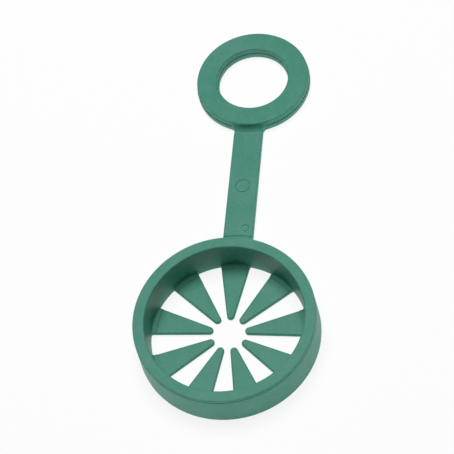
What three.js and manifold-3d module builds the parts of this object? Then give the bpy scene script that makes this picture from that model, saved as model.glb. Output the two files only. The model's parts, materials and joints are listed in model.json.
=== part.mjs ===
// Plant support ring: a short cup whose floor is a star of flexible fingers that close round a stem,
// joined by a flat arm to a plain ring that slides on a stake. It is one moulding, divided at the nine
// living hinges where its fingers bend, and its rigid body is divided into cup, arm and stake ring.
// Millimetres, +Z up. It lies on z = 0 with the arm along Y and the cup towards -Y, and the origin is
// the middle of its footprint.
import * as THREE from "three";
import { mergeVertices } from "three/addons/utils/BufferGeometryUtils.js";
import Module from "manifold-3d";

// Cup: a drafted wall, thicker at the foot than at the lip.
const LIP_DIAMETER = 50;
const LIP_WIDTH = 3;
const LIP_ROUNDING = 0.7;
const CUP_HEIGHT = 10.7;
const CUP_DRAFT_DEGREES = 2.1;

// Fingers: flat and tapered, a little above the surface that the part lies on.
const FINGER_COUNT = 9;
const FINGER_THICKNESS = 1.1;
const FINGER_ROOT_WIDTH = 7.9;
const FINGER_TIP_RADIUS = 1.05;
const FINGER_LIFT = 0.15;
const STEM_HOLE_DIAMETER = 9;
const HINGE_CLEARANCE = 0.3;

// Arm: a flat strap whose root flares and ramps into the cup's wall.
const ARM_WIDTH = 8.5;
const ARM_THICKNESS = 2.2;
const ARM_FLARE_RADIUS = 7;
const ARM_RAMP_RADIUS = 6;

// Stake ring: its wall bulges slightly at half height, where the two mould halves met.
const STAKE_OFFSET = 84;
const STAKE_RING_DIAMETER = 33.5;
const STAKE_BORE_DIAMETER = 21.2;
const STAKE_RING_HEIGHT = 4;
const STAKE_RING_ROUNDING = 0.4;
const PARTING_BULGE = 0.2;
const STAKE_FILLET_RADIUS = 2;

// How far a form runs into the one that it is joined to.
const JOIN_OVERLAP = 1;

// Facets: steps round a turned form, and divisions of an arc on an edge or in a larger sweep.
const RING_STEPS = 72;
const EDGE_DIVISIONS = 2;
const SWEEP_DIVISIONS = 5;

const PLASTIC_COLOUR = 0x4a8f78;
const PLASTIC_ROUGHNESS = 0.45;

const QUARTER_TURN = Math.PI / 2;

const wasm = await Module();
wasm.setup();

const draft = THREE.MathUtils.degToRad(CUP_DRAFT_DEGREES);
const crownHeight = CUP_HEIGHT - LIP_ROUNDING;
const lipRadius = LIP_DIAMETER / 2;
const lipInnerRadius = lipRadius - LIP_WIDTH;
const footRadius = lipRadius + crownHeight * Math.tan(draft);
const floorRadius = lipInnerRadius - crownHeight * Math.tan(draft);
const stakeRadius = STAKE_RING_DIAMETER / 2;
const boreRadius = STAKE_BORE_DIAMETER / 2;
const stakeReach = stakeRadius + PARTING_BULGE;

// The footprint's middle lies halfway between the far edges of the cup and of the stake ring.
const overallLength = footRadius + STAKE_OFFSET + stakeReach;
const cupY = footRadius - overallLength / 2;
const stakeY = cupY + STAKE_OFFSET;

function toSolid(geometry) {
  const bare = geometry.clone();
  bare.deleteAttribute("normal");
  bare.deleteAttribute("uv");
  const merged = mergeVertices(bare);
  return new wasm.Manifold(
    new wasm.Mesh({
      numProp: 3,
      vertProperties: merged.attributes.position.array,
      triVerts: new Uint32Array(merged.index.array),
    }),
  );
}

function toGeometry(solid) {
  const mesh = solid.getMesh();
  const geometry = new THREE.BufferGeometry();
  geometry.setAttribute("position", new THREE.BufferAttribute(mesh.vertProperties, 3));
  geometry.setIndex(new THREE.BufferAttribute(mesh.triVerts, 1));
  geometry.computeVertexNormals();
  return geometry;
}

function plasticMesh(name, geometry) {
  const material = new THREE.MeshStandardMaterial({
    color: PLASTIC_COLOUR,
    roughness: PLASTIC_ROUGHNESS,
    metalness: 0,
  });
  const mesh = new THREE.Mesh(geometry, material);
  mesh.name = name;
  return mesh;
}

// Turns a closed outline, radius against height, about the Z axis.
function turned(outline, divisions) {
  const points = outline.getPoints(divisions);
  return new THREE.LatheGeometry(points, RING_STEPS).rotateX(QUARTER_TURN);
}

// Raises a flat outline from z = 0.
function raised(outline, height) {
  return new THREE.ExtrudeGeometry(outline, {
    depth: height,
    bevelEnabled: false,
    curveSegments: SWEEP_DIVISIONS,
  });
}

// How far from a round wall's centre a fillet between the wall and the arm's side meets the arm.
function filletReach(wallRadius, filletRadius) {
  return Math.sqrt((wallRadius + filletRadius) ** 2 - (ARM_WIDTH / 2 + filletRadius) ** 2);
}

// The plan of an arm's root: as wide as the arm at y = end, and swept by a fillet on each side into a
// round wall about the origin.
function rootPlan(wallRadius, filletRadius, end) {
  const halfArm = ARM_WIDTH / 2;
  const filletX = halfArm + filletRadius;
  const filletY = filletReach(wallRadius, filletRadius);
  const bearing = Math.atan2(filletY, filletX);
  const buriedX = (wallRadius - JOIN_OVERLAP) * Math.cos(bearing);
  const buriedY = (wallRadius - JOIN_OVERLAP) * Math.sin(bearing);
  const plan = new THREE.Shape();
  plan.moveTo(buriedX, buriedY);
  plan.absarc(filletX, filletY, filletRadius, Math.PI + bearing, Math.PI, true);
  plan.lineTo(halfArm, end);
  plan.lineTo(-halfArm, end);
  plan.absarc(-filletX, filletY, filletRadius, 0, -bearing, true);
  plan.lineTo(-buriedX, buriedY);
  plan.closePath();
  return plan;
}

// The ramp's hollow curve touches the arm's top and the drafted wall. It is kept below the lip.
const rampRadius = Math.min(ARM_RAMP_RADIUS, crownHeight - ARM_THICKNESS);
const rampTop = ARM_THICKNESS + rampRadius * (1 - Math.sin(draft));
const rampWallRadius = footRadius - rampTop * Math.tan(draft);
const rampReach = rampWallRadius + rampRadius * Math.cos(draft);

// Where the straight arm starts, past the flare and the ramp, and how near it comes to the stake.
const armStart = Math.max(filletReach(footRadius, ARM_FLARE_RADIUS), rampReach) + JOIN_OVERLAP;
const armEnd = filletReach(stakeReach, STAKE_FILLET_RADIUS);

function cupBand() {
  const wall = new THREE.Shape();
  wall.moveTo(floorRadius, 0);
  wall.lineTo(footRadius, 0);
  wall.absarc(lipRadius - LIP_ROUNDING, crownHeight, LIP_ROUNDING, 0, QUARTER_TURN, false);
  wall.absarc(lipInnerRadius + LIP_ROUNDING, crownHeight, LIP_ROUNDING, QUARTER_TURN, Math.PI, false);
  wall.closePath();

  // The arm's root: the ramp, turned about the cup and trimmed to the flared plan.
  const ramp = new THREE.Shape();
  const buriedRadius = rampWallRadius - JOIN_OVERLAP;
  const trimRadius = armStart + ARM_WIDTH;
  ramp.moveTo(buriedRadius, 0);
  ramp.lineTo(trimRadius, 0);
  ramp.lineTo(trimRadius, ARM_THICKNESS);
  ramp.absarc(rampReach, ARM_THICKNESS + rampRadius, rampRadius, -QUARTER_TURN, draft - Math.PI, true);
  ramp.lineTo(buriedRadius, rampTop);
  ramp.closePath();
  const plan = raised(rootPlan(footRadius, ARM_FLARE_RADIUS, armStart), CUP_HEIGHT);
  const root = toSolid(turned(ramp, SWEEP_DIVISIONS)).intersect(toSolid(plan));

  const cup = toSolid(turned(wall, EDGE_DIVISIONS)).add(root);
  const mesh = plasticMesh("cup_band", toGeometry(cup));
  mesh.position.y = cupY;
  return mesh;
}

function arm() {
  const start = cupY + armStart;
  const length = stakeY - armEnd - start;
  const mesh = plasticMesh("arm", new THREE.BoxGeometry(ARM_WIDTH, length, ARM_THICKNESS));
  mesh.position.set(0, start + length / 2, ARM_THICKNESS / 2);
  return mesh;
}

function stakeRing() {
  const rounding = STAKE_RING_ROUNDING;
  const outerEdge = stakeRadius - rounding;
  const innerEdge = boreRadius + rounding;
  const topEdge = STAKE_RING_HEIGHT - rounding;
  const partingHeight = STAKE_RING_HEIGHT / 2;
  const wall = new THREE.Shape();
  wall.absarc(outerEdge, rounding, rounding, -QUARTER_TURN, 0, false);
  wall.lineTo(stakeReach, partingHeight);
  wall.absarc(outerEdge, topEdge, rounding, 0, QUARTER_TURN, false);
  wall.absarc(innerEdge, topEdge, rounding, QUARTER_TURN, Math.PI, false);
  wall.lineTo(boreRadius - PARTING_BULGE, partingHeight);
  wall.absarc(innerEdge, rounding, rounding, Math.PI, Math.PI + QUARTER_TURN, false);
  wall.closePath();

  const plan = raised(rootPlan(stakeReach, STAKE_FILLET_RADIUS, armEnd), ARM_THICKNESS);
  const root = toSolid(plan.rotateZ(Math.PI));
  const ring = toSolid(turned(wall, EDGE_DIVISIONS)).add(root);
  const mesh = plasticMesh("stake_ring", toGeometry(ring));
  mesh.position.y = stakeY;
  return mesh;
}

// A finger's rounded root turns about its hinge axis just inside the cup's wall, which comes nearest at
// the root's two corners.
const rootCornerRadius = Math.sqrt(floorRadius ** 2 - (FINGER_ROOT_WIDTH / 2) ** 2);
const hingeRadius = rootCornerRadius - HINGE_CLEARANCE - FINGER_THICKNESS / 2;
const hingeHeight = FINGER_LIFT + FINGER_THICKNESS / 2;

// One finger in its hinge's own frame: the axis along Y, the tip towards -X. Its tapered plan is cut from
// a slab with a rounded root.
function fingerGeometry() {
  const halfRoot = FINGER_ROOT_WIDTH / 2;
  const halfThickness = FINGER_THICKNESS / 2;
  const tipReach = hingeRadius - STEM_HOLE_DIAMETER / 2;
  const tipCentre = tipReach - FINGER_TIP_RADIUS;
  const cornerToTip = Math.hypot(halfRoot, tipCentre);
  const edgeBearing = Math.atan2(halfRoot, tipCentre) + Math.acos(FINGER_TIP_RADIUS / cornerToTip);
  const plan = new THREE.Shape();
  plan.moveTo(halfThickness, -halfRoot);
  plan.lineTo(halfThickness, halfRoot);
  plan.lineTo(0, halfRoot);
  plan.absarc(-tipCentre, 0, FINGER_TIP_RADIUS, edgeBearing, 2 * Math.PI - edgeBearing, false);
  plan.lineTo(0, -halfRoot);
  plan.closePath();

  const side = new THREE.Shape();
  side.moveTo(-tipReach - JOIN_OVERLAP, -halfThickness);
  side.absarc(0, 0, halfThickness, -QUARTER_TURN, QUARTER_TURN, false);
  side.lineTo(-tipReach - JOIN_OVERLAP, halfThickness);
  side.closePath();

  const flat = raised(plan, FINGER_THICKNESS).translate(0, 0, -halfThickness);
  const slab = raised(side, 2 * FINGER_ROOT_WIDTH).translate(0, 0, -FINGER_ROOT_WIDTH);
  return toGeometry(toSolid(flat).intersect(toSolid(slab.rotateX(QUARTER_TURN))));
}

// Finger 1 has its root beside the arm, and the others follow anticlockwise seen from above.
function fingers() {
  const star = new THREE.Group();
  star.position.set(0, cupY, hingeHeight);
  for (let i = 0; i < FINGER_COUNT; i++) {
    const spoke = new THREE.Group();
    spoke.rotation.z = QUARTER_TURN + (2 * Math.PI * i) / FINGER_COUNT;
    const finger = plasticMesh(`finger_${i + 1}`, fingerGeometry());
    finger.position.x = hingeRadius;
    spoke.add(finger);
    star.add(spoke);
  }
  return star;
}

const plantSupportRing = new THREE.Group();
plantSupportRing.name = "plant_support_ring";
plantSupportRing.add(cupBand(), arm(), stakeRing(), fingers());

export default plantSupportRing;
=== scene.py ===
"""Looks of a plant support ring: one green plastic moulding with nine bending fingers.

Everything is in metres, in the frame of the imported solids: the part lies on z = 0, the arm runs along Y,
and the cup is towards -Y.
"""
import json
import math

import bmesh
import bpy
import numpy as np
from mathutils import Matrix, Vector


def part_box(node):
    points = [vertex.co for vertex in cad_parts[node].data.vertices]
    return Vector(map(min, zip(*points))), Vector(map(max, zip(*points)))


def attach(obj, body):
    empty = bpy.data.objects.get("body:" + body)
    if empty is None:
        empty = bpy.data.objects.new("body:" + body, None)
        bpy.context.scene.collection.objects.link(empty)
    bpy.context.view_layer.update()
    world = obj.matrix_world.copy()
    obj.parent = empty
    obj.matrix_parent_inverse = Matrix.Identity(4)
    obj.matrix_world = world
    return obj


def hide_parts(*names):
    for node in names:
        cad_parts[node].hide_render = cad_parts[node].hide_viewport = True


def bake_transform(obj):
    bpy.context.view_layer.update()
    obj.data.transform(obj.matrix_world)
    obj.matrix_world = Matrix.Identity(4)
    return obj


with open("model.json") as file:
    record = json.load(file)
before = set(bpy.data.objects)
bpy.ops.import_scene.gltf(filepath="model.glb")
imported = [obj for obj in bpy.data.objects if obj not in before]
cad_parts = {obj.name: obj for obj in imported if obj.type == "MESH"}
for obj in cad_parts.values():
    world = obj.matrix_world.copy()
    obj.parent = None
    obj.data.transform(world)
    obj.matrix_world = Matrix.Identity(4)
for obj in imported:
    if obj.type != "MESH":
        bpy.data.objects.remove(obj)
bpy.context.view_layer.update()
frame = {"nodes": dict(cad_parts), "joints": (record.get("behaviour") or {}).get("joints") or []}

MM = 0.001

# Sizes and places that the solids give.
cup_low, cup_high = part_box("cup_band")
arm_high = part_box("arm")[1]
stake_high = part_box("stake_ring")[1]
finger_low, finger_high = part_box("finger_1")
foot_radius = cup_high.x
cup_height = cup_high.z
cup_centre = Vector((0, cup_low.y + foot_radius, 0))
half_arm = arm_high.x
arm_top = arm_high.z
stake_reach = stake_high.x
stake_height = stake_high.z
stake_centre = Vector((0, stake_high.y - stake_reach, 0))
stake_offset = stake_centre.y - cup_centre.y
finger_count = sum(name.startswith("finger_") for name in frame["nodes"])
finger_top = finger_high.z
finger_underside = finger_low.z
finger_half_root = finger_high.x
finger_tip_reach = finger_low.y - cup_centre.y
hinge_radius = frame["joints"][0]["pos_m"][1] - cup_centre.y

# The cup's wall. The lip's width is the solids' at the foot of their rounded crown. At the top the wall is
# wider by the widening, inwards.
LIP_WIDTH = 3.0 * MM
LIP_WIDENING = 0.2 * MM
CROWN_HEIGHT = 0.7 * MM
LIP_ROUNDING = 0.3 * MM
LIP_INNER_ROUNDING = 0.4 * MM
LIP_LINE_DEPTH = 0.2 * MM
LIP_LINE_ROUNDING = LIP_LINE_DEPTH / 2
LIP_LINE_HEIGHT = 0.26 * MM
LIP_LINE_DROP = 0.95 * MM
FOOT_ROUNDING = 0.25 * MM
CUP_DRAFT = math.tan(math.radians(2.1))
CUP_STEPS = 216

# The stake ring.
BORE_RADIUS = 10.6 * MM
PARTING_LEDGE = 0.2 * MM
PARTING_ROUNDING = 0.08 * MM
STAKE_ROUNDING = 0.55 * MM
STAKE_STEPS = 168

# The arm. The plain stretch between the rows of its two roots is given in half-widths.
ARM_EDGE_ROUNDING = 0.45 * MM
ARM_FOOT_ROUNDING = 0.35 * MM
ARM_LIFT = 0.03 * MM
ARM_PLAIN_STRETCH = 3
ARM_DIVISIONS = 12

# The arm's roots: at the cup a ramp, flared from the drafted wall as it is at the flare's level, and at the
# stake ring a hollow.
FLARE_RADIUS = 7.0 * MM
FLARE_LEVEL = 2 * arm_top
FLARE_ROWS = 10
RAMP_RADIUS = 6.0 * MM
RAMP_REACH = 5.35 * MM
RAMP_DROP = 0.22 * MM
RAMP_EDGE = 0.16 * MM
STAKE_FILLET = 2.0 * MM
STAKE_COVE = 2.2 * MM
STAKE_ROOT_REACH = 2.25 * MM
STAKE_ROOT_DROP = 0.6 * MM
STAKE_ROOT_EDGE = 0.25 * MM
ROOT_BURIAL = 1.2 * MM
ROOT_CROSSING = 0.1 * MM
ROOT_RUN = 0.01 * MM
COVE_ROWS = 12

# The fingers.
FINGER_TIP_RADIUS = 1.05 * MM
FINGER_EDGE_ROUNDING = 0.4 * MM
FINGER_FOOT_ROUNDING = 0.12 * MM
FINGER_COVE = 0.4 * MM
FINGER_CORNER = 0.5 * MM
FINGER_BURIAL = 0.5 * MM
FINGER_STEP_GAP = 1.35 * MM
FINGER_STEP = 0.22 * MM
FINGER_STEP_ROUNDING = 0.12 * MM
FINGER_STEP_RUN = 0.02 * MM
FINGER_BEND_LENGTH = 3.2 * MM
FINGER_BOW_GAP = 1.5 * MM
FINGER_BEND_ROWS = 15
FINGER_BLADE_ROWS = 8
FINGER_TIP_ROWS = 8
FINGER_DIVISIONS = 10

# Outlines that round inserts of the mould leave on the arm: a place and a radius for each.
ARM_MARKS = (
    (Vector((0.0, 9.2, 0.0)) * MM, 2.2 * MM),
    (Vector((1.9, -4.9, 0.0)) * MM, 1.2 * MM),
)
MARK_WIDTH = 0.36 * MM
MARK_DEPTH = 0.16 * MM
MARK_ROUNDING = MARK_WIDTH / 4
MARK_STEPS = 48

# Meshes: how finely roundings are cut, which points merge and which edges look sharp.
ROUNDING_DIVISIONS = 6
EDGE_DIVISIONS = 4
MERGE_DISTANCE = 0.002 * MM
SLIVER_LENGTH = 0.001 * MM
SMOOTH_ANGLE = math.radians(38)

# The plastic: its greens, the sizes of its patterns, how much each pattern counts, and its finish.
DEEP_GREEN = (0.034, 0.212, 0.142, 1)
PALE_GREEN = (0.072, 0.241, 0.192, 1)
STREAK_GREEN = (0.024, 0.228, 0.146, 1)
CLOUD_SIZE = 9 * MM
STREAK_SIZE = 2.5 * MM
STREAK_STRETCH = 4
MOTTLE_SIZE = 1.1 * MM
GRAIN_SIZE = 0.28 * MM
CLOUD_SHARE = 0.65
MOTTLE_SHARE = 1 - CLOUD_SHARE
PIGMENT_RANGE = (0.33, 0.67)
STREAK_RANGE = (0.52, 0.75)
STREAK_SHARE = 0.45
ROUGHNESS = 0.36
CLOUD_ROUGHNESS = 0.12
MOTTLE_ROUGHNESS = 0.06
GRAIN_HEIGHT = 0.6
MOTTLE_HEIGHT = 0.9
BUMP_STRENGTH = 0.5
BUMP_DEPTH = 0.03 * MM
PLASTIC_IOR = 1.25

# The view: the photographed bearing, height and roll, aimed near the part's middle.
VIEW_AIM = Vector((-3.8, -3.2, 0.0)) * MM
VIEW_DISTANCE = 467 * MM
VIEW_BEARING = math.radians(18.93)
VIEW_ELEVATION = math.radians(57.57)
VIEW_ROLL = math.radians(16.16)
VIEW_LENS = 130
VIEW_NEAREST = 10 * MM

# Light: a flat pale surface that faces up renders about as its colour is written.
WHITE = (1, 1, 1, 1)
LAMP_PLACE = Vector((-0.03, 0.21, 0.88))
LAMP_SIZE = 0.55
LAMP_POWER = 8.0
SKY_LIGHT = 0.08
HORIZON_LIGHT = 1.2
HORIZON_HEIGHT = 0.12
FLOOR_COLOUR = (0.92, 0.92, 0.92, 1)
FLOOR_GLOW = 1.0
FLOOR_WHITENESS = 0.85
FLOOR_NEAR = 0.2
FLOOR_FAR = 0.7
FLOOR_SIZE = 6.0
FLOOR_DROP = 0.02 * MM

# Radii about the cup's axis, and angles over the quarter round of an edge.
lip_radius = foot_radius - cup_height * CUP_DRAFT
lip_inner_radius = lip_radius - LIP_WIDTH + 2 * CROWN_HEIGHT * CUP_DRAFT
floor_radius = lip_inner_radius - cup_height * CUP_DRAFT
flare_wall_radius = foot_radius - FLARE_LEVEL * CUP_DRAFT
bow_start = floor_radius - FINGER_BEND_LENGTH - FINGER_BOW_GAP
edge_angles = np.linspace(0, math.pi / 2, EDGE_DIVISIONS + 1)


class Wire:
    """One output socket of a node. Arithmetic on it adds Math nodes to the same tree."""

    def __init__(self, nodes, socket):
        self.nodes = nodes
        self.socket = socket

    def other(self, output):
        """Another output of the same node."""
        return Wire(self.nodes, self.socket.node.outputs[output])

    def math(self, operation, first, second=0.0):
        return self.nodes.make("ShaderNodeMath", {"operation": operation}, {0: first, 1: second})

    def __add__(self, value):
        return self.math("ADD", self, value)

    def __radd__(self, value):
        return self.math("ADD", value, self)

    def __sub__(self, value):
        return self.math("SUBTRACT", self, value)

    def __rsub__(self, value):
        return self.math("SUBTRACT", value, self)

    def __mul__(self, value):
        return self.math("MULTIPLY", self, value)

    def __rmul__(self, value):
        return self.math("MULTIPLY", value, self)

    def __truediv__(self, value):
        return self.math("DIVIDE", self, value)

    def __rtruediv__(self, value):
        return self.math("DIVIDE", value, self)

    def __abs__(self):
        return self.math("ABSOLUTE", self)


class Nodes:
    """A node tree that is filled by one method."""

    def __init__(self, tree):
        self.tree = tree

    def make(self, kind, settings=None, sockets=None, output=0):
        """Adds a node, sets it up, fills or links its sockets, and returns one output."""
        node = self.tree.nodes.new(kind)
        for name, value in (settings or {}).items():
            if name == "stops":
                self.set_stops(node.color_ramp, value)
            else:
                setattr(node, name, value)
        for key, value in (sockets or {}).items():
            if isinstance(value, Wire):
                self.tree.links.new(value.socket, node.inputs[key])
            else:
                node.inputs[key].default_value = value
        return Wire(self, node.outputs[output]) if len(node.outputs) else None

    def set_stops(self, ramp, stops):
        while len(ramp.elements) < len(stops):
            ramp.elements.new(1.0)
        for element, (position, colour) in zip(ramp.elements, stops):
            element.position = position
            element.color = colour


class ShapeTree(Nodes):
    """A Geometry Nodes tree with named inputs, ended by Realize Instances and Set Material."""

    KINDS = {float: "NodeSocketFloat", int: "NodeSocketInt", Vector: "NodeSocketVector",
             bpy.types.Object: "NodeSocketObject", bpy.types.Material: "NodeSocketMaterial"}

    def __init__(self, name, inputs):
        super().__init__(bpy.data.node_groups.new(name, "GeometryNodeTree"))
        self.identifiers = {}
        for title, kind in {**inputs, "Material": bpy.types.Material}.items():
            socket = self.tree.interface.new_socket(title, in_out="INPUT", socket_type=self.KINDS[kind])
            self.identifiers[title] = socket.identifier
        self.tree.interface.new_socket("Geometry", in_out="OUTPUT", socket_type="NodeSocketGeometry")
        self.entry = self.make("NodeGroupInput")

    def given(self, title):
        return self.entry.other(title)

    def end(self, geometry):
        realized = self.make("GeometryNodeRealizeInstances", sockets={0: geometry})
        finished = self.make("GeometryNodeSetMaterial",
                             sockets={"Geometry": realized, "Material": self.given("Material")})
        self.make("NodeGroupOutput", sockets={0: finished})

    def build(self, name, **values):
        """A new object whose plain mesh is what the tree makes from these values."""
        piece = new_object(name, bpy.data.meshes.new(name))
        modifier = piece.modifiers.new("shape", "NODES")
        modifier.node_group = self.tree
        for title, value in values.items():
            modifier[self.identifiers[title.replace("_", " ").capitalize()]] = value
        settle(piece)
        return piece


def new_object(name, data):
    """A mesh, camera or lamp as an object of the scene."""
    added = bpy.data.objects.new(name, data)
    bpy.context.scene.collection.objects.link(added)
    return added


def settle(piece):
    """Turns a piece and its modifiers into a plain mesh."""
    bpy.context.view_layer.update()
    evaluated = piece.evaluated_get(bpy.context.evaluated_depsgraph_get())
    mesh = bpy.data.meshes.new_from_object(evaluated)
    piece.modifiers.clear()
    piece.data = mesh


def discard(piece):
    bpy.data.objects.remove(piece)


def smooth(piece):
    piece.data.shade_smooth()
    piece.data.set_sharp_from_angle(angle=SMOOTH_ANGLE)


def close_skin(mesh):
    """Merges points that meet, removes slivers and turns the faces outwards."""
    skin = bmesh.new()
    skin.from_mesh(mesh)
    bmesh.ops.remove_doubles(skin, verts=skin.verts, dist=MERGE_DISTANCE)
    bmesh.ops.dissolve_degenerate(skin, edges=skin.edges, dist=SLIVER_LENGTH)
    bmesh.ops.recalc_face_normals(skin, faces=skin.faces)
    skin.to_mesh(mesh)
    skin.free()


def mesh_from_rows(name, rows):
    """A closed mesh through rows of points, each row a closed loop of as many points."""
    count = len(rows[0])
    points = np.concatenate(rows)
    faces = []
    for row in range(len(rows) - 1):
        for column in range(count):
            following = (column + 1) % count
            faces.append((row * count + column, row * count + following,
                          (row + 1) * count + following, (row + 1) * count + column))
    faces.append(tuple(range(count))[::-1])
    faces.append(tuple(range((len(rows) - 1) * count, len(rows) * count)))
    mesh = bpy.data.meshes.new(name)
    mesh.from_pydata(points.tolist(), [], faces)
    close_skin(mesh)
    return mesh


def blend_colours(nodes, share, first, second):
    """A mix of two colours, by the sockets that the Mix node keeps for colours."""
    return nodes.make("ShaderNodeMix", {"data_type": "RGBA"}, {0: share, 6: first, 7: second}, output=2)


def noise(nodes, place, size, detail=2.0, roughness=0.5):
    """Soft noise from 0 to 1 whose features are about size across."""
    return nodes.make("ShaderNodeTexNoise", sockets={
        "Vector": place, "Scale": 1 / size, "Detail": detail, "Roughness": roughness})


def green_plastic():
    """Satin moulded plastic: clouded pigment, faint flow streaks and a fine moulded grain."""
    material = bpy.data.materials.new("green plastic")
    material.use_nodes = True
    nodes = Nodes(material.node_tree)
    shader = material.node_tree.nodes["Principled BSDF"]

    place = nodes.make("ShaderNodeTexCoord", output="Object")
    along_flow = nodes.make("ShaderNodeMapping", sockets={
        "Vector": place, "Scale": (1.0, 1 / STREAK_STRETCH, 1.0)})
    clouds = noise(nodes, place, CLOUD_SIZE, detail=3.0, roughness=0.6)
    streaks = noise(nodes, along_flow, STREAK_SIZE)
    mottle = noise(nodes, place, MOTTLE_SIZE)
    grain = noise(nodes, place, GRAIN_SIZE, detail=1.0)

    pigment = nodes.make("ShaderNodeValToRGB",
                         {"stops": list(zip(PIGMENT_RANGE, (DEEP_GREEN, PALE_GREEN)))},
                         {"Fac": clouds * CLOUD_SHARE + mottle * MOTTLE_SHARE})
    streak_low, streak_high = STREAK_RANGE
    streak_share = nodes.make("ShaderNodeMapRange", sockets={
        "Value": streaks, "From Min": streak_low, "From Max": streak_high,
        "To Min": 0.0, "To Max": STREAK_SHARE})
    colour = blend_colours(nodes, streak_share, pigment, STREAK_GREEN)
    roughness = ROUGHNESS + clouds * CLOUD_ROUGHNESS + mottle * MOTTLE_ROUGHNESS
    bump = nodes.make("ShaderNodeBump", sockets={
        "Strength": BUMP_STRENGTH, "Distance": BUMP_DEPTH,
        "Height": grain * GRAIN_HEIGHT + mottle * MOTTLE_HEIGHT}, output="Normal")

    links = material.node_tree.links
    links.new(colour.socket, shader.inputs["Base Color"])
    links.new(roughness.socket, shader.inputs["Roughness"])
    links.new(bump.socket, shader.inputs["Normal"])
    shader.inputs["IOR"].default_value = PLASTIC_IOR
    return material


def rounded_outline(corners):
    """A closed outline of (radius, height) points through corners, each given with its rounding."""
    places = np.array([corner[:2] for corner in corners])
    ahead = np.roll(places, -1, axis=0) - places
    ahead /= np.hypot(ahead[:, 0], ahead[:, 1])[:, None]
    outline = []
    for place, arriving, leaving, corner in zip(places, np.roll(ahead, 1, axis=0), ahead, corners):
        rounding = corner[2]
        if not rounding:
            outline.append(tuple(place))
            continue
        turn = math.atan2(arriving[0] * leaving[1] - arriving[1] * leaving[0], arriving @ leaving)
        side = math.copysign(rounding, turn)
        start = place - arriving * rounding * math.tan(abs(turn) / 2)
        centre = start + side * np.array([-arriving[1], arriving[0]])
        first = math.atan2(-arriving[0] * side, arriving[1] * side)
        for angle in np.linspace(first, first + turn, ROUNDING_DIVISIONS + 1):
            outline.append((centre[0] + rounding * math.cos(angle), centre[1] + rounding * math.sin(angle)))
    return outline


def turned_wall_tree():
    """A wall turned about Z: a closed outline carried round a circle."""
    tree = ShapeTree("turned wall", {"Outline": bpy.types.Object, "Radius": float, "Steps": int})
    drawn = tree.make("GeometryNodeObjectInfo", {"transform_space": "ORIGINAL"},
                      {"Object": tree.given("Outline")}, output="Geometry")
    profile = tree.make("GeometryNodeMeshToCurve", sockets={"Mesh": drawn})
    circle = tree.make("GeometryNodeCurvePrimitiveCircle", {"mode": "RADIUS"}, {
        "Resolution": tree.given("Steps"), "Radius": tree.given("Radius")})
    tree.end(tree.make("GeometryNodeCurveToMesh", sockets={"Curve": circle, "Profile Curve": profile}))
    return tree


def turned_wall(tree, name, outline, place, steps, plastic):
    """A wall of that outline about a place. A circle's sweep lays X away from its middle, Y downwards."""
    spine = max(radius for radius, height in outline)
    count = len(outline)
    drawing = bpy.data.meshes.new("outline")
    drawing.from_pydata([(radius - spine, -height, 0) for radius, height in outline],
                        [(number, (number + 1) % count) for number in range(count)], [])
    pattern = new_object("outline", drawing)
    wall = tree.build(name, outline=pattern, radius=spine, steps=steps, material=plastic)
    discard(pattern)
    close_skin(wall.data)
    wall.data.transform(Matrix.Translation(place))
    return wall


def lip_line(outline):
    """The cup's outline with a thin line cut into the outer wall just below the lip."""
    outside = lip_radius - LIP_WIDTH / 2
    middle = cup_height - LIP_LINE_DROP
    low = middle - LIP_LINE_HEIGHT / 2
    high = middle + LIP_LINE_HEIGHT / 2
    radii, heights = np.transpose([point for point in outline if point[0] > outside])
    low_radius, middle_radius, high_radius = np.interp([low, middle, high], heights, radii)
    bottom = middle_radius - LIP_LINE_DEPTH
    line = [(low_radius, low, 0), (bottom, low, LIP_LINE_ROUNDING), (bottom, high, LIP_LINE_ROUNDING),
            (high_radius, high, 0)]
    outer = [number for number, point in enumerate(outline) if point[0] > outside]
    below = [number for number in outer if outline[number][1] < low]
    above = [number for number in outer if outline[number][1] > high]
    corners = [(*point, 0) for point in outline]
    return rounded_outline(corners[:below[-1] + 1] + line + corners[above[0]:])


def cup_wall(tree, plastic):
    """The drafted wall of the cup, with the thin line below its lip."""
    outline = rounded_outline([
        (floor_radius, 0, FOOT_ROUNDING), (foot_radius, 0, FOOT_ROUNDING),
        (lip_radius, cup_height, LIP_ROUNDING),
        (lip_inner_radius - LIP_WIDENING, cup_height, LIP_INNER_ROUNDING)])
    return turned_wall(tree, "cup_wall", lip_line(outline), cup_centre, CUP_STEPS, plastic)


def stake_wall(tree, plastic):
    """The stake ring, whose lower half stands out by a ledge where the mould parts."""
    half = stake_height / 2
    bore_ledge = BORE_RADIUS - PARTING_LEDGE
    outer_ledge = stake_reach - PARTING_LEDGE
    outline = rounded_outline([
        (bore_ledge, 0, STAKE_ROUNDING), (stake_reach, 0, STAKE_ROUNDING),
        (stake_reach, half, PARTING_ROUNDING), (outer_ledge, half, 0),
        (outer_ledge, stake_height, STAKE_ROUNDING), (BORE_RADIUS, stake_height, STAKE_ROUNDING),
        (BORE_RADIUS, half, 0), (bore_ledge, half, PARTING_ROUNDING)])
    return turned_wall(tree, "stake_wall", outline, stake_centre, STAKE_STEPS, plastic)


def cove(gap, radius):
    """Height of a hollow quarter round above the face that it leaves, at a distance from its wall."""
    run = np.clip(radius - gap, 0, radius)
    return radius - np.sqrt(radius ** 2 - run ** 2)


def root_rise(gap, radius, reach, drop, edge):
    """Height of an arm's root above the arm: a cove at the wall, lower than the arm's rounded end edge."""
    if gap < reach:
        return cove(gap, radius) - drop
    return -cove(gap - reach, edge)


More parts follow.
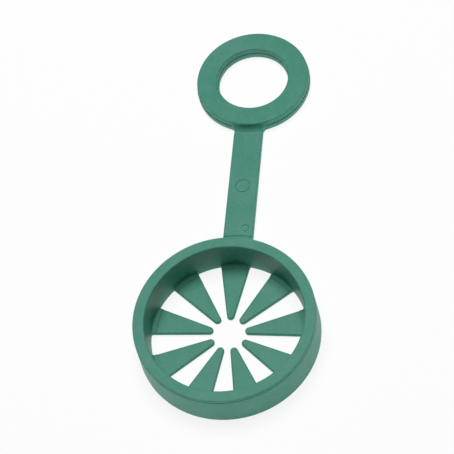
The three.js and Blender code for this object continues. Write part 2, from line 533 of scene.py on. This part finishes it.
def root_stations(wall_radius, fillet, root, last):
    """Rows of an arm's root round a wall: (distance from the wall's axis, half-angle, rise) for each."""
    radius, reach, drop, edge = root
    quarter = np.linspace(0, math.pi / 2, COVE_ROWS + 1)
    hollow = radius * (1 - np.sin(quarter))
    gaps = np.concatenate([hollow[hollow < reach - edge / 2], [reach - ROOT_RUN],
                           reach + edge * (1 - np.cos(quarter[::2]))])
    centre_x = half_arm + fillet
    centre_distance = wall_radius + fillet
    centre_bearing = math.asin(centre_x / centre_distance)
    fillet_end = math.hypot(half_arm, centre_distance * math.cos(centre_bearing))
    cove_wall = wall_radius - ROOT_CROSSING
    distances = set(cove_wall + gaps)
    distances |= set(np.linspace(wall_radius, fillet_end, FLARE_ROWS + 1))
    distances |= {wall_radius - ROOT_BURIAL, last}
    stations = []
    for distance in sorted(distances):
        if distance <= wall_radius:
            half_angle = centre_bearing
        elif distance < fillet_end:
            turn = (distance ** 2 + centre_distance ** 2 - fillet ** 2) / (2 * distance * centre_distance)
            half_angle = centre_bearing - math.acos(min(1.0, turn))
        else:
            half_angle = math.asin(half_arm / distance)
        stations.append((distance, half_angle, float(root_rise(max(distance - cove_wall, 0.0), *root))))
    return stations


def arm_row(distance, half_angle, rise):
    """One row across the arm, bent round the wall's axis: up one side, over the top and down the other."""
    top = arm_top + rise
    half = distance * half_angle
    foot = half - ARM_FOOT_ROUNDING * (1 - np.sin(edge_angles))
    foot_level = ARM_LIFT + ARM_FOOT_ROUNDING * (1 - np.cos(edge_angles))
    edge = half - ARM_EDGE_ROUNDING * (1 - np.cos(edge_angles))
    edge_level = top - ARM_EDGE_ROUNDING * (1 - np.sin(edge_angles))
    across = np.linspace(edge[-1], -edge[-1], ARM_DIVISIONS + 1)[1:-1]
    arcs = np.concatenate([foot, edge, across, -edge[::-1], -foot[::-1]])
    levels = np.concatenate([foot_level, edge_level, np.full(len(across), top), edge_level[::-1],
                             foot_level[::-1]])
    angles = arcs / distance
    return np.stack([distance * np.sin(angles), distance * np.cos(angles), levels], axis=1)


def arm_mesh():
    """The flat arm, with a root swept into the cup's wall and another into the stake ring's."""
    middle = stake_offset / 2
    cup_root = root_stations(flare_wall_radius, FLARE_RADIUS,
                             (RAMP_RADIUS, RAMP_REACH, RAMP_DROP, RAMP_EDGE), middle)
    stake_root = root_stations(stake_reach - PARTING_LEDGE, STAKE_FILLET,
                               (STAKE_COVE, STAKE_ROOT_REACH, STAKE_ROOT_DROP, STAKE_ROOT_EDGE),
                               stake_offset - middle - ARM_PLAIN_STRETCH * half_arm)
    cup_rows = [arm_row(*station) + np.array(cup_centre) for station in cup_root]
    turned = np.array([-1.0, -1.0, 1.0])
    stake_rows = [arm_row(*station) * turned + np.array(stake_centre) for station in stake_root]
    # Turning a row about Z swaps its ends, so it is read backwards to run the same way round.
    stake_rows = [row[::-1] for row in stake_rows[::-1]]
    return mesh_from_rows("arm", cup_rows + stake_rows)


def insert_mark(tree, plastic, place, radius):
    """A thin ring to cut from the arm's top, where a round insert of the mould leaves its outline."""
    inner = radius - MARK_WIDTH
    bottom = arm_top - MARK_DEPTH
    over = arm_top + MARK_DEPTH
    outline = rounded_outline([
        (inner, bottom, MARK_ROUNDING), (radius, bottom, MARK_ROUNDING),
        (radius, over, 0), (inner, over, 0)])
    return turned_wall(tree, "insert_mark", outline, place, MARK_STEPS, plastic)


def cut_or_join(piece, tool, operation):
    modifier = piece.modifiers.new(operation.lower(), "BOOLEAN")
    modifier.operation = operation
    modifier.object = tool
    modifier.solver = "EXACT"
    settle(piece)
    discard(tool)


def moulding(plastic):
    """The rigid part of the moulding as one skin: cup wall, arm and stake ring."""
    walls = turned_wall_tree()
    piece = new_object("moulding", arm_mesh())
    piece.data.materials.append(plastic)
    cut_or_join(piece, cup_wall(walls, plastic), "UNION")
    cut_or_join(piece, stake_wall(walls, plastic), "UNION")
    for place, radius in ARM_MARKS:
        cut_or_join(piece, insert_mark(walls, plastic, place, radius), "DIFFERENCE")
    smooth(piece)
    piece.modifiers.new("flat faces stay flat", "WEIGHTED_NORMAL").keep_sharp = True
    settle(piece)
    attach(piece, "moulding")
    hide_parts("cup_band", "arm", "stake_ring")


def finger_starts():
    """For each row of a finger, from its buried root round its tip: the centre of the tip's circle, moved
    along the side to that row, and the direction out of the side. X leads away from the cup's axis."""
    tip_centre = np.array([finger_tip_reach + FINGER_TIP_RADIUS, 0])
    run = hinge_radius - tip_centre[0]
    bearing = math.atan2(finger_half_root, run)
    tangent = bearing + math.acos(FINGER_TIP_RADIUS / math.hypot(run, finger_half_root))
    side = np.array([math.sin(tangent), -math.cos(tangent)])
    outwards = np.array([math.cos(tangent), math.sin(tangent)])
    rim = tip_centre + (FINGER_TIP_RADIUS - FINGER_EDGE_ROUNDING) * outwards
    step_edge = floor_radius - FINGER_STEP_GAP
    distances = np.concatenate([
        [floor_radius + FINGER_BURIAL],
        floor_radius - FINGER_COVE * (1 - np.cos(edge_angles)),
        step_edge + FINGER_STEP_ROUNDING * (1 - np.sin(edge_angles)),
        np.linspace(step_edge - FINGER_STEP_RUN, bow_start, FINGER_BEND_ROWS, endpoint=False),
        np.linspace(bow_start, np.hypot(*rim), FINGER_BLADE_ROWS + 1)])
    along = rim @ side
    lengths = np.sqrt(along ** 2 + distances ** 2 - rim @ rim) - along
    starts = [(tip_centre + side * length, outwards) for length in lengths]
    for angle in np.linspace(tangent, math.pi, FINGER_TIP_ROWS + 1)[1:]:
        starts.append((tip_centre, np.array([math.cos(angle), math.sin(angle)])))
    return starts


def finger_rows():
    """Rows of a finger's skin, each up one side, over the top and down the other. They are straight along
    the blade and bow into arcs about the cup's axis towards the root."""
    insets = np.concatenate([[FINGER_FOOT_ROUNDING, 0], FINGER_EDGE_ROUNDING * (1 - np.cos(edge_angles))])
    drop = FINGER_EDGE_ROUNDING * (1 - np.sin(edge_angles))
    shares = np.linspace(1, -1, FINGER_DIVISIONS + 1)[1:-1]
    count = len(insets)
    rows = []
    for start, normal in finger_starts():
        edge = start + np.outer(FINGER_TIP_RADIUS - insets, normal)
        distance = np.hypot(edge[:, 0], edge[:, 1])
        corner = cove(np.maximum(floor_radius - distance, 0), FINGER_CORNER)
        edge = edge + np.outer(corner, normal)
        bow = np.clip((distance[-1] - bow_start) / FINGER_BEND_LENGTH, 0, 1)
        middle = edge[-1, 0] + (distance[-1] - edge[-1, 0]) * bow
        across = np.stack([edge[-1, 0] + (middle - edge[-1, 0]) * (1 - shares ** 2),
                           edge[-1, 1] * shares], axis=1)
        mirrored = edge[::-1] * np.array([1, -1])
        plan = np.concatenate([edge, across, mirrored])
        level = np.full(len(plan), finger_level(floor_radius - distance[-1]))
        level[0] = level[-1] = finger_underside
        level[1] = level[-2] = finger_underside + FINGER_FOOT_ROUNDING
        level[2:count] -= drop
        level[-count:-2] -= drop[::-1]
        rows.append(np.column_stack([plan, level]))
    return rows


def finger_level(gap):
    """Height of a finger's top at a distance from the wall: a small cove, a ledge, a step, then flat."""
    if gap > FINGER_STEP_GAP + FINGER_STEP_RUN / 2:
        return finger_top
    run = max(gap - FINGER_STEP_GAP + FINGER_STEP_ROUNDING, 0.0)
    edge_drop = FINGER_STEP_ROUNDING - math.sqrt(max(FINGER_STEP_ROUNDING ** 2 - run ** 2, 0.0))
    return finger_top + FINGER_STEP - edge_drop + float(cove(max(gap, 0.0), FINGER_COVE))


def finger_star_tree():
    """One finger of a star about the cup's axis, by its number from the arm onwards."""
    tree = ShapeTree("finger star", {
        "Finger": bpy.types.Object, "Count": int, "Number": int, "Centre": Vector})
    finger = tree.make("GeometryNodeObjectInfo", {"transform_space": "ORIGINAL"},
                       {"Object": tree.given("Finger")}, output="Geometry")
    turn = math.pi / 2 + (tree.given("Number") - 1) * math.tau / tree.given("Count")
    rotation = tree.make("ShaderNodeCombineXYZ", sockets={"Z": turn})
    tree.end(tree.make("GeometryNodeTransform", sockets={
        "Geometry": finger, "Translation": tree.given("Centre"), "Rotation": rotation}))
    return tree


def fingers(plastic):
    """The fingers, each turned from one pattern to its place round the cup, shaded smooth and shown in
    place of its solid.
    """
    pattern = new_object("finger_pattern", mesh_from_rows("finger_pattern", finger_rows()))
    star = finger_star_tree()
    for number in range(1, finger_count + 1):
        finger = star.build(f"bending_finger_{number}", finger=pattern, count=finger_count, number=number,
                            centre=cup_centre, material=plastic)
        smooth(finger)
        hinge = Vector(frame["joints"][number - 1]["pos_m"])
        outwards = (hinge - cup_centre) * Vector((1, 1, 0))
        outwards.normalize()
        start = cup_centre + outwards * floor_radius
        start - outwards * FINGER_BEND_LENGTH
        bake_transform(finger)
        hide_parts(f"finger_{number}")
    discard(pattern)


def camera():
    """The photographed view, closer in: the bearing is from -Y towards +X, the roll turns the picture."""
    flat = math.cos(VIEW_ELEVATION)
    back = Vector((math.sin(VIEW_BEARING) * flat, -math.cos(VIEW_BEARING) * flat, math.sin(VIEW_ELEVATION)))
    data = bpy.data.cameras.new("view")
    data.lens = VIEW_LENS
    data.clip_start = VIEW_NEAREST
    eye = new_object("view", data)
    eye.matrix_world = (Matrix.Translation(VIEW_AIM + back * VIEW_DISTANCE)
                        @ (-back).to_track_quat("-Z", "Y").to_matrix().to_4x4()
                        @ Matrix.Rotation(-VIEW_ROLL, 4, "Z"))
    bpy.context.scene.camera = eye


def seen_directly(nodes):
    """1 where the camera, a reflection or a clear piece looks at a surface, 0 for light that bounces."""
    path = nodes.make("ShaderNodeLightPath", output="Is Camera Ray")
    shown = path + path.other("Is Glossy Ray") + path.other("Is Transmission Ray")
    return shown.math("MINIMUM", shown, 1.0)


def floor():
    """A pale floor that looks nearly white, keeps the part's soft shadow and is plain white far off. For
    light that bounces it also glows, so it lights the part from below as a lit table would.
    """
    half = FLOOR_SIZE / 2
    corners = ((-half, -half), (half, -half), (half, half), (-half, half))
    mesh = bpy.data.meshes.new("floor")
    mesh.from_pydata([(x, y, -FLOOR_DROP) for x, y in corners], [], [(0, 1, 2, 3)])
    material = bpy.data.materials.new("pale floor")
    material.use_nodes = True
    material.node_tree.nodes.clear()
    nodes = Nodes(material.node_tree)
    seen = seen_directly(nodes)
    matt = nodes.make("ShaderNodeBsdfDiffuse", sockets={"Color": FLOOR_COLOUR})
    # Glow that only bounced light sees: the floor gives off light of its own onto the part, from below.
    glow = nodes.make("ShaderNodeEmission", sockets={"Strength": (1 - seen) * FLOOR_GLOW})
    lit = nodes.make("ShaderNodeAddShader", sockets={0: matt, 1: glow})
    white = nodes.make("ShaderNodeEmission", sockets={"Color": WHITE, "Strength": 1.0})
    place = nodes.make("ShaderNodeTexCoord", output="Object")
    distance = nodes.make("ShaderNodeVectorMath", {"operation": "LENGTH"}, {0: place}, output="Value")
    whiteness = nodes.make("ShaderNodeMapRange", {"interpolation_type": "SMOOTHSTEP"}, {
        "Value": distance, "From Min": FLOOR_NEAR, "From Max": FLOOR_FAR, "To Min": FLOOR_WHITENESS})
    mixed = nodes.make("ShaderNodeMixShader", sockets={0: seen * whiteness, 1: lit, 2: white})
    nodes.make("ShaderNodeOutputMaterial", sockets={"Surface": mixed})
    mesh.materials.append(material)
    new_object("floor", mesh)


def sky():
    """A dim sky over a bright horizon, both shown as white."""
    world = bpy.data.worlds.new("studio")
    bpy.context.scene.world = world
    world.use_nodes = True
    world.node_tree.nodes.clear()
    nodes = Nodes(world.node_tree)
    direction = nodes.make("ShaderNodeTexCoord", output="Generated")
    height = nodes.make("ShaderNodeSeparateXYZ", sockets={0: direction}, output="Z")
    level = nodes.make("ShaderNodeMapRange", {"interpolation_type": "SMOOTHSTEP"}, {
        "Value": abs(height), "From Max": HORIZON_HEIGHT, "To Min": HORIZON_LIGHT, "To Max": SKY_LIGHT})
    shown = level + (1 - level) * seen_directly(nodes)
    background = nodes.make("ShaderNodeBackground", sockets={"Color": WHITE, "Strength": shown})
    nodes.make("ShaderNodeOutputWorld", sockets={"Surface": background})


def overhead_lamp():
    """One soft round lamp above the part, a little behind it."""
    data = bpy.data.lights.new("overhead", "AREA")
    data.shape = "DISK"
    data.size = LAMP_SIZE
    data.energy = LAMP_POWER
    lamp = new_object("overhead", data)
    lamp.location = LAMP_PLACE
    lamp.rotation_mode = "QUATERNION"
    lamp.rotation_quaternion = (-LAMP_PLACE).to_track_quat("-Z", "Y")


bpy.context.scene.view_settings.view_transform = "Standard"
camera()
floor()
sky()
overhead_lamp()
plastic = green_plastic()
moulding(plastic)
fingers(plastic)
